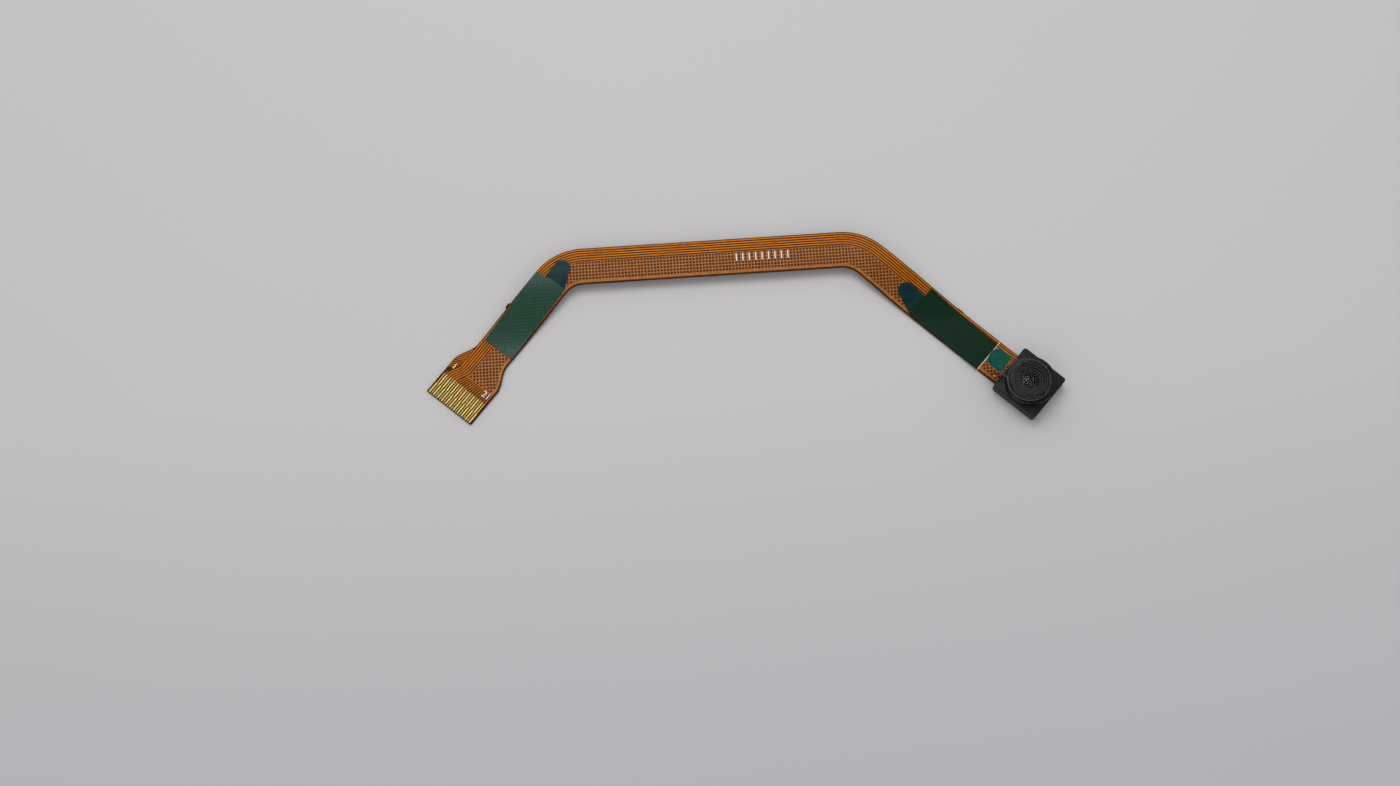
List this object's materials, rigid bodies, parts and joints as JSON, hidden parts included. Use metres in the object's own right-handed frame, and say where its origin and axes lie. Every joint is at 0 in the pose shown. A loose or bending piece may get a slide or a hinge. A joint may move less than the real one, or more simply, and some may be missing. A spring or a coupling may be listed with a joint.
{
  "type": "camera module",
  "caption": "Small camera module: a square black lens head on a bent amber flexible circuit with a plug-in contact tail and two taped liners.",
  "frame": {"origin": "centre of the module's box in plan, on the surface that the stiffeners lie on", "axes": "+X along the middle run of the ribbon towards the camera end, +Y away from the two arms, +Z out of the lens"},
  "size_m": [0.0738, 0.0242, 0.0038],
  "materials": {
    "polyimide": "glossy amber film",
    "coverlay": "glossy translucent amber film",
    "stiffener_film": "satin",
    "steel": "satin",
    "copper": "bright foil",
    "gold": "plated",
    "tape": "dull",
    "liner": "satin translucent film",
    "solder": "bright",
    "silicon": "polished",
    "black_plastic": "fine matte",
    "black_glue": "satin",
    "glass": "polished",
    "filter_glass": "polished",
    "ceramic": "matt",
    "tin": "bright",
    "clear_film": "hazy clear film",
    "tab_film": "glossy film"
  },
  "bodies": {
    "root": {"tail_stiffener": "stiffener_film", "head_stiffener": "steel", "back_coverlay": "coverlay", "back_traces": "copper", "core_film": "polyimide", "signal_traces": "copper", "ground_mesh": "copper", "contacts": "gold", "coverlay": "coverlay", "left_tape": "tape", "left_liner": "liner", "right_tape": "tape", "right_liner": "liner", "solder_balls": "solder", "sensor_die": "silicon", "sensor_dam": "black_plastic", "sensor_glass": "glass", "chip_capacitors": "ceramic", "capacitor_ends": "tin", "holder_glue": "black_glue", "lens_holder": "black_plastic", "infrared_filter": "filter_glass", "lens_barrel": "black_plastic", "front_lens": "glass", "front_stop": "black_plastic", "middle_lens": "glass", "rear_stop": "black_plastic", "rear_lens": "glass", "lens_retainer": "black_plastic", "lens_film": "clear_film", "film_tab": "tab_film"}
  },
  "joints": []
}
